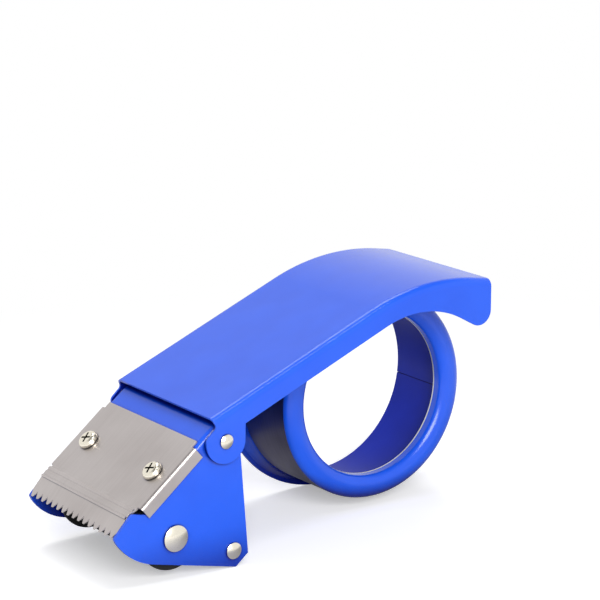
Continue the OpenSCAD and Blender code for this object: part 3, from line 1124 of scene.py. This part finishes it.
@dataclass
class Head(Assembly):
    """The head: folded frame with its hub arm, and the cutter with its fasteners."""

    # Front plate: angle where its roll over the pivot ends, its length, depth of its folded edges
    roll_end: float = 75.0
    front_len: float = 25.8
    fold_deep: float = 1.4
    # Side plates' heel and sole
    heel_back: float = 9.2
    heel_cham: Point = (4.8, 4.0)
    sole: Point = (31.9, 7.4)
    # Their hook and nose, by place down the slope past the cutter's wings or edge, and off its surface
    hook: Point = (3.3, 0.7)
    tip: Point = (0.1, -0.5)
    nose: Point = (0.5, -2.2)
    chin: Point = (0.5, -3.0)
    hook_r: float = 1.5
    tip_r: float = 0.8
    nose_bulge: float = 1.5
    fold_play: float = 0.7
    fold_past: float = 0.3
    knuckle_turn: float = 5.0
    far_drop: float = 1.1
    # Hub's arm: length of its root, drop under the handle, turns and reaches round the hub
    arm_h: float = 31.0
    arm_drop: float = 6.5
    arm_end: float = 212.0
    arm_turn: float = 6.0
    arm_foot: float = 6.0
    arm_heel: float = 4.0
    arm_lift: float = 1.0
    # Cutter: its upper tongue, and the place, height and radius of its creases
    tongue_len: float = 2.5
    creases: tuple[Place, ...] = ((27.9, 0.02, 0.9), (31.3, 0.48, 0.6))
    crease_half: float = 27.1
    crease_turn: float = 55.0
    cutter_edge: float = 0.06
    cutter_smooth: float = 8.0
    # Screws: place, spacing, sizes, head's rounding, and the size, height and turns of the cross
    screw_down: float = 13.2
    screw_span: float = 40.8
    screw_r: float = 2.0
    screw_len: float = 7.7
    screw_head: Point = (3.5, 2.1)
    screw_round: float = 0.7
    cross: Place = (4.025, 3.0, 0.7)
    cross_up: float = 0.6
    cross_turns: Point = (20.0, 110.0)

    def front_section(self) -> list[Point]:
        """Gives the folded front plate's end view, with its surface at zero.

        Returns:
            The section as Y and height.
        """
        half, radius, depth = PLAN.head_w / 2.0, PLAN.bend_r, PLAN.bend_r + self.fold_deep
        outer = arc((half - radius, -radius), radius, 0.0, 90.0, 8)
        inner = arc((half - radius, -radius), radius - PLAN.plate_t, 90.0, 0.0, 6)
        right = [(half, -depth)] + outer
        inside = inner + [(half - PLAN.plate_t, -depth)]
        return (right + [(-y, h) for y, h in reversed(right)]
                + [(-y, h) for y, h in reversed(inside)] + inside)

    def by_edge(self, place: Point, drop: float) -> Point:
        """Gives a point of a side plate's nose by its place past the toothed edge, less a drop."""
        return PLAN.on_cutter(PLAN.blade_end + place[0], place[1] - drop)

    def cheek(self, drop: float = 0.0) -> list[Point]:
        """Gives a side plate's outline, with its hook and nose lowered by a drop.

        Args:
            drop: How far hook and nose are lowered.

        Returns:
            The outline as X and Z.
        """
        front_v, ground = -PLAN.cut_t - PLAN.gap, -PLAN.flange_r
        heel = PLAN.pivot[0] + self.heel_back
        sole_start = heel - self.heel_cham[0]
        toe = (sole_start - self.sole[0], ground + self.sole[1])
        fold = PLAN.bend_r + self.fold_play
        end = PLAN.on_cutter(self.front_len + self.fold_past, front_v - fold)
        hook = PLAN.on_cutter(PLAN.wing_len + self.hook[0], self.hook[1] - drop)
        tip, middle = self.by_edge(self.tip, drop), self.roll_end - self.knuckle_turn
        return [*arc(PLAN.pivot, PLAN.knuckle_r - PLAN.gap, 0.0, middle, 12),
                *arc(PLAN.pivot, PLAN.knuckle_r - fold, middle, 90.0 + PLAN.cut_angle, 8),
                end,
                *corner(end, hook, tip, self.hook_r, 6),
                *corner(hook, tip, self.by_edge(self.chin, drop), self.tip_r, 5),
                *bow(self.by_edge(self.nose, drop), toe, self.nose_bulge, 16),
                (sole_start, ground), (heel, ground + self.heel_cham[1])]

    def arm(self) -> list[Point]:
        """Gives the outline of the arm that carries the hub, before the hub's round is cut out.

        Returns:
            The outline as X and Z.
        """
        foot = PLAN.pivot[0] + self.arm_foot
        drop = PLAN.handle_t + self.arm_drop
        start = PLAN.slope_z(foot, drop)
        high = on_circle((0.0, self.arm_lift), PLAN.top_d - drop, 90.0 + PLAN.slope + self.arm_turn)
        low = on_circle((0.0, 0.0), PLAN.flange_r, self.arm_end)
        return [(foot, start), high, (-PLAN.drum_r / 2.0, 0.0), (low[0] + self.arm_heel, low[1]), low,
                (foot, start - self.arm_h)]

    def build(self) -> None:
        """Builds the frame's sheet, the cutter and its fasteners."""
        self.frame_sheet()
        self.cutter()
        self.screws()
        for node, name in (("cutter_lock_washers", "cutter_spring_washers"),
                           ("cutter_nuts", "cutter_nut_pair")):
            self.dress(eased(self.node_copy(node, name), PLAN.fine_edge, whole_faces=True), Slot.ZINC,
                       "frame", node)

    def frame_sheet(self) -> None:
        """Builds the folded front, both side plates and the hub's arm as one sheet."""
        half, inside = PLAN.head_w / 2.0, PLAN.side_in
        sheet = swept("head_sheet", self.front_section(), PLAN.pivot, PLAN.knuckle_r,
                      (self.roll_end, 90.0 + PLAN.cut_angle), (0.0, PLAN.cut_front + self.front_len), 12)
        arm = plate("hub_arm", self.arm(), inside, half)
        drill(arm, (0.0, 0.0), PLAN.flange_r + PLAN.gap, inside - PAST, half + PAST)
        combine(sheet, plate("left_cheek", self.cheek(), -half, -inside), Work.JOIN)
        combine(sheet, plate("right_cheek", self.cheek(self.far_drop), inside, half), Work.JOIN)
        combine(sheet, arm, Work.JOIN)
        for place, shank in ((PLAN.pivot, PLAN.rivet_r), (joint_place("roller_spin"), PLAN.axle_r),
                             (joint_place("guide_spin"), PLAN.guide_r)):
            drill(sheet, place, shank + PLAN.gap, -half - PAST, half + PAST)
        self.dress(eased(sheet, PLAN.sheet_edge, whole_faces=True), Slot.BLUE, "frame", "head_frame")

    def cutter(self) -> None:
        """Trims the tongue of the cutter's sheet and eases its edges."""
        sheet = self.node_copy("cutter_plate", "cutter_sheet")
        tilt = math.radians(PLAN.cut_angle)
        x, z = PLAN.on_cutter(-self.tongue_len, 0.0)
        eased(sheet, whole_faces=True)
        edit_all()
        bpy.ops.mesh.bisect(plane_co=(x * MM, 0.0, z * MM), use_fill=True, clear_inner=True,
                            plane_no=(-math.cos(tilt), 0.0, -math.sin(tilt)))
        bpy.ops.object.mode_set(mode="OBJECT")
        eased(sheet, self.cutter_edge, self.cutter_smooth, True)
        for down, height, radius in self.creases:
            middle = 90.0 + PLAN.cut_angle
            ridge = arc(PLAN.on_cutter(down, height), radius, middle - self.crease_turn,
                        middle + self.crease_turn, 10)
            bar = plate("crease", ridge, -self.crease_half, self.crease_half)
            combine(sheet, bar, Work.JOIN)
        self.dress(sheet, Slot.STAINLESS, "frame", "cutter_plate")

    def screws(self) -> None:
        """Builds the two cross-head screws as one piece."""
        radius, height = self.screw_head
        edge = self.screw_round * height
        profile = [(0.0, -self.screw_len), (self.screw_r, -self.screw_len), (self.screw_r, 0.0),
                   (radius, 0.0), *arc((radius - edge, height - edge), edge, 0.0, 90.0, 10), (0.0, height)]
        x, z = PLAN.on_cutter(self.screw_down, 0.0)
        upright = (Matrix.Rotation(-math.radians(PLAN.cut_angle), 4, "Y")
                   @ Matrix.Rotation(math.pi / 2.0, 4, "X"))
        pair = []
        for side in Side:
            screw = turned(f"screw_{side.name.lower()}", profile, steps=HOLE_STEPS)
            for turn in self.cross_turns:
                place = (Matrix.Rotation(math.radians(turn), 4, "Y")
                         @ Matrix.Translation((0.0, (height + self.cross_up) * MM, 0.0)))
                groove(screw, place, self.cross)
            y = side.value * self.screw_span / 2.0
            screw.matrix_world = Matrix.Translation(Vector((x, y, z)) * MM) @ upright
            pair.append(screw)
        select_only(pair[0])
        pair[1].select_set(True)
        bpy.ops.object.join()
        bpy.ops.object.transform_apply(location=True, rotation=True, scale=True)
        pair[0].name = "cutter_screw_pair"
        self.dress(eased(pair[0], PLAN.fine_edge), Slot.NICKEL, "frame", "cutter_screws")


@dataclass
class PressRoller(Assembly):
    """The rubber roller with its axle and washers, and the guide behind it."""

    tyre_r: float = 9.3
    bead_r: float = 11.5
    bead_w: float = 1.6
    bead_edge: float = 0.4
    core_r: float = 7.0
    recess_deep: float = 6.0
    recess_wall: float = 1.4
    axle_head: Point = (4.4, 1.7)
    washer: Point = (5.5, 0.8)
    guide_head: Point = (2.8, 1.3)
    sleeve_edge: float = 0.1
    play: float = 0.2

    def build(self) -> None:
        """Builds the roller's and the guide's pieces."""
        axle, half = joint_place("roller_spin"), PLAN.side_in - self.washer[1] - 2.0 * self.play
        self.dress(eased(self.tyre(axle, half)), Slot.RUBBER, "roller", "roller_tyre")
        self.dress(eased(self.core(axle, half)), Slot.PLASTIC, "roller", "roller_core")
        ends = (-PLAN.head_w / 2.0 - PLAN.gap, PLAN.head_w / 2.0 + PLAN.gap)
        pin = riveted_pin("roller_pin", axle, PLAN.axle_r, ends, self.axle_head)
        self.dress(eased(pin), Slot.NICKEL, "frame", "roller_axle")
        for side in Side:
            word = side.name.lower()
            far = side.value * (PLAN.side_in - self.play / 2.0)
            near = far - side.value * self.washer[1]
            washer = turned(f"roller_washer_{word}",
                            wall(PLAN.axle_r + PLAN.gap, self.washer[0], near, far), axle)
            self.dress(eased(washer, PLAN.fine_edge), Slot.ZINC, "frame", f"thrust_washer_{word}")
        pin = riveted_pin("heel_pin", joint_place("guide_spin"), PLAN.guide_r, ends, self.guide_head)
        self.dress(eased(pin), Slot.NICKEL, "frame", "guide_pin")
        self.dress(eased(self.node_copy("guide_sleeve", "heel_sleeve"), self.sleeve_edge), Slot.ZINC,
                   "guide_roll", "guide_sleeve")

    def tyre(self, axle: Point, half: float) -> Piece:
        """Turns the rubber sleeve with a raised bead at each end.

        Args:
            axle: X and Z of the axle.
            half: Half its length.

        Returns:
            The closed sleeve.
        """
        ease, rim = self.bead_edge, self.bead_r - self.bead_edge
        upper = [*arc((rim, half - ease), ease, 90.0, 0.0, 4),
                 *arc((rim, half - self.bead_w + ease), ease, 0.0, -90.0, 4),
                 (self.tyre_r, half - self.bead_w)]
        lower = [(r, -y) for r, y in reversed(upper)]
        return turned("rubber_tyre", [(self.core_r, -half), (self.core_r, half), *upper, *lower], axle)

    def core(self, axle: Point, half: float) -> Piece:
        """Turns the hard core with a recess in each end.

        Args:
            axle: X and Z of the axle.
            half: Half its length.

        Returns:
            The closed core.
        """
        bore, rim = PLAN.axle_r + 2.0 * PLAN.gap, self.core_r - PLAN.gap
        inner, outer, deep = bore + self.recess_wall, rim - self.recess_wall, half - self.recess_deep
        end = [(rim, half), (outer, half), (outer, deep), (inner, deep), (inner, half), (bore, half)]
        return turned("tyre_core", end + [(r, -y) for r, y in reversed(end)], axle)


@dataclass
class Pivots(Assembly):
    """The two pivot rivets with their spacers."""

    head: Point = (2.4, 1.3)
    spacer_r: float = 5.0

    def build(self) -> None:
        """Builds both sides' rivets and spacers."""
        out, inner = PLAN.handle_w / 2.0, PLAN.handle_w / 2.0 - PLAN.handle_t
        for side in Side:
            word, sign = side.name.lower(), side.value
            span = sorted((sign * (PLAN.side_in - PLAN.gap), sign * (out + PLAN.gap)))
            rivet = riveted_pin(f"ear_rivet_{word}", PLAN.pivot, PLAN.rivet_r, tuple(span), self.head)
            self.dress(eased(rivet), Slot.NICKEL, "frame", f"pivot_rivet_{word}")
            near, far = sign * (PLAN.head_w / 2.0 + PLAN.gap), sign * (inner - 2.0 * PLAN.gap)
            spacer = turned(f"ear_spacer_{word}", wall(PLAN.rivet_r + PLAN.gap, self.spacer_r, near, far),
                            PLAN.pivot)
            self.dress(eased(spacer, PLAN.fine_edge), Slot.ZINC, "frame", f"pivot_spacer_{word}")


@dataclass
class Hub(Assembly):
    """The roll hub: painted barrel, bare running band, grip rim and flange rim."""

    grip_w: float = 8.1
    grip_nose: float = 2.6
    lip_len: float = 2.2
    lip_edge: float = 0.6
    rim_t: float = 1.0
    slit: float = 0.3
    band_joint: float = 80.0
    rim_smooth: float = 40.0

    def build(self) -> None:
        """Builds the hub's pieces."""
        start, end = PLAN.grip_y + PLAN.gap, PLAN.head_w / 2.0
        # The barrel's bore takes the darker copy of the blue enamel, as painted shade
        self.dress(eased(self.barrel(start, end)), Slot.INSIDE, "frame")
        band = rolled("hub_band", wall(PLAN.drum_r - PLAN.drum_t, PLAN.drum_r, start, PLAN.band_end),
                      self.band_joint, self.slit)
        self.dress(eased(band), Slot.STRIP, "frame", "hub_drum")
        lip, foot = PLAN.grip_y + self.lip_len, PLAN.drum_r - self.grip_w
        edge = turned("hub_lip_edge", wall(foot, foot + self.rim_t, lip + PLAN.gap, lip + self.lip_edge),
                      steps=RING_STEPS)
        self.dress(eased(edge), Slot.ZINC, "frame")
        self.dress(eased(self.grip_rim(lip, foot), smooth=self.rim_smooth), Slot.BLUE, "frame",
                   "hub_grip_rim")
        self.dress(eased(self.flange_rim(end), smooth=self.rim_smooth), Slot.BLUE, "frame",
                   "hub_flange_rim")

    def barrel(self, start: float, end: float) -> Piece:
        """Turns the painted barrel, with a fine groove for its closed joint.

        Args:
            start: Y of its left end.
            end: Y of its right end.

        Returns:
            The closed barrel.
        """
        inner = PLAN.barrel_r - PLAN.drum_t
        piece = turned("hub_barrel_sheet", wall(inner, PLAN.barrel_r, start, end), steps=RING_STEPS)
        place = (Matrix.Rotation(-math.radians(PLAN.seam), 4, "Y")
                 @ Matrix.Translation((inner * MM, 0.0, 0.0)))
        groove(piece, place, (PLAN.drum_t, 2.0 * PLAN.head_w, self.slit))
        return piece

    def grip_rim(self, lip: float, foot: float) -> Piece:
        """Turns the pressed grip rim: a flattened nose, turned in to a lip.

        Args:
            lip: Y of the lip's end.
            foot: The lip's inner radius.

        Returns:
            The closed rim.
        """
        half = self.grip_w / 2.0
        middle = (PLAN.drum_r - half, PLAN.grip_y)
        profile = [(foot, lip), *oval(middle, (half, self.grip_nose), 180.0, 360.0, 32),
                   *oval(middle, (half - self.rim_t, self.grip_nose - self.rim_t), 360.0, 180.0, 24),
                   (foot + self.rim_t, lip)]
        return turned("grip_rim", profile, steps=RING_STEPS)

    def flange_rim(self, end: float) -> Piece:
        """Turns the pressed flange rim: a collar on the barrel that flares to a flat edge.

        Args:
            end: Y of its right face.

        Returns:
            The closed rim.
        """
        height, sheet = PLAN.flange_r - PLAN.drum_r, PLAN.drum_t
        start = PLAN.band_end + PLAN.gap
        flare = (height * height + PLAN.flare_len * PLAN.flare_len) / (2.0 * height)
        bell, step = (PLAN.drum_r + flare, start), end - PLAN.plate_t
        low = math.degrees(math.asin((step - start) / flare))
        high = math.degrees(math.asin(PLAN.flare_len / (flare + sheet)))
        profile = [*arc(bell, flare, 180.0, 180.0 - low, 12), (PLAN.flange_r, step), (PLAN.flange_r, end),
                   *arc(bell, flare + sheet, 180.0 - high, 180.0, 12)]
        return turned("flange_rim", profile, steps=RING_STEPS)


def aimed(data: bpy.types.ID, place: Vector, way: Vector) -> Piece:
    """Adds the object of a lamp or camera.

    Args:
        data: The lamp's or camera's data, whose name the object gets.
        place: Where it stands.
        way: The way that it faces.

    Returns:
        The new object.
    """
    holder = bpy.data.objects.new(data.name, data)
    holder.location = place
    holder.rotation_euler = way.to_track_quat("-Z", "Y").to_euler()
    bpy.context.scene.collection.objects.link(holder)
    return holder


@dataclass(frozen=True)
class Lamp:
    """Soft rectangular lamp, in metres and watts."""

    name: str
    place: Place
    size: Point
    power: float

    def hang(self, aim: Place) -> None:
        """Adds the lamp, turned to the point given.

        Args:
            aim: The point that it faces.
        """
        data = bpy.data.lights.new(self.name, "AREA")
        data.shape = "RECTANGLE"
        data.size, data.size_y = self.size
        data.energy = self.power
        aimed(data, Vector(self.place), Vector(aim) - Vector(self.place))


@dataclass
class Studio:
    """White sweep, soft lamps and the camera, in metres and degrees."""

    azimuth: float = -34.8
    elevation: float = 13.7
    distance: float = 0.8119
    target: Place = (-0.028, 0.0, 0.0367)
    lens: float = 143.5
    sensor: float = 36.0
    clip: Point = (0.01, 20.0)
    # World: even light, and the white wall under a dim ceiling that shiny faces mirror
    ambient: float = 0.3
    ambient_tint: Colour = (0.97, 0.98, 1.0)
    wall_span: Point = (0.62, 0.8)
    ceiling: float = 0.3
    # Lamps: key at the tool's left, top lamp behind it, narrow lamp over its left edge
    middle: Place = (-0.03, 0.0, 0.0)
    lamps: tuple[Lamp, ...] = (
        Lamp("key", (-0.45, -0.95, 0.45), (0.6, 0.6), 11.5),
        Lamp("top", (0.15, 0.45, 1.15), (0.7, 0.5), 4.8),
        Lamp("strip", (-0.1, -0.4, 1.05), (0.6, 0.1), 1.6),
    )
    floor_size: float = 8.0

    def build(self) -> None:
        """Makes the camera, the world, the lamps and the floor."""
        self.camera()
        self.world()
        for lamp in self.lamps:
            lamp.hang(self.middle)
        self.floor()
        bpy.context.scene.view_settings.view_transform = "Standard"

    def camera(self) -> None:
        """Places the camera at the photograph's viewing angle."""
        turn, lift = math.radians(self.azimuth), math.radians(self.elevation)
        back = Vector((math.sin(turn) * math.cos(lift), -math.cos(turn) * math.cos(lift), math.sin(lift)))
        data = bpy.data.cameras.new("camera")
        data.lens = self.lens
        data.sensor_width = self.sensor
        data.clip_start, data.clip_end = self.clip
        bpy.context.scene.camera = aimed(data, Vector(self.target) + back * self.distance, -back)

    def world(self) -> None:
        """Lights the scene evenly, shows white to the camera, and puts a dim ceiling over a white wall."""
        world = bpy.data.worlds.new("studio")
        bpy.context.scene.world = world
        world.use_nodes = True
        graph, nodes = Graph(world.node_tree), world.node_tree.nodes
        way = graph.add("ShaderNodeTexCoord").outputs["Generated"]
        height = graph.add("ShaderNodeSeparateXYZ", Vector=way).outputs["Z"]
        light = graph.ranged(height, (1.0, self.ceiling), self.wall_span, True)
        even = graph.put(nodes["Background"], Color=(*self.ambient_tint, 1.0), Strength=self.ambient)
        room, seen = (graph.add("ShaderNodeBackground", Color=(*WHITE, 1.0), Strength=strength)
                      for strength in (light, 1.0))
        path = graph.add("ShaderNodeLightPath").outputs
        shown = even.outputs["Background"]
        for ray, other in (("Is Glossy Ray", room), ("Is Camera Ray", seen)):
            shown = graph.combined("ShaderNodeMixShader", path[ray], shown, other.outputs["Background"])
        graph.put(nodes["World Output"], Surface=shown)

    def floor(self) -> None:
        """Makes the pale floor at the tool's lowest point, white beyond the tool's shadow."""
        low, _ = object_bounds()
        bpy.ops.object.select_all(action="DESELECT")
        bpy.ops.mesh.primitive_plane_add(size=self.floor_size, location=(0.0, 0.0, low.z))
        floor = bpy.context.object
        floor.name = "floor"
        floor.data.materials.append(Sweep().make())
        floor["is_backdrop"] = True


def main() -> None:
    """Builds every assembly and reports its pieces."""
    logging.basicConfig(level=logging.INFO, format="%(message)s")
    for assembly in (Handle(), Head(), PressRoller(), Pivots(), Hub()):
        assembly.build()
        for piece in assembly.built:
            LOG.info("%s: %s, %d faces", type(assembly).__name__, piece.name, len(piece.data.polygons))
    Studio().build()


if __name__ == "__main__":
    main()
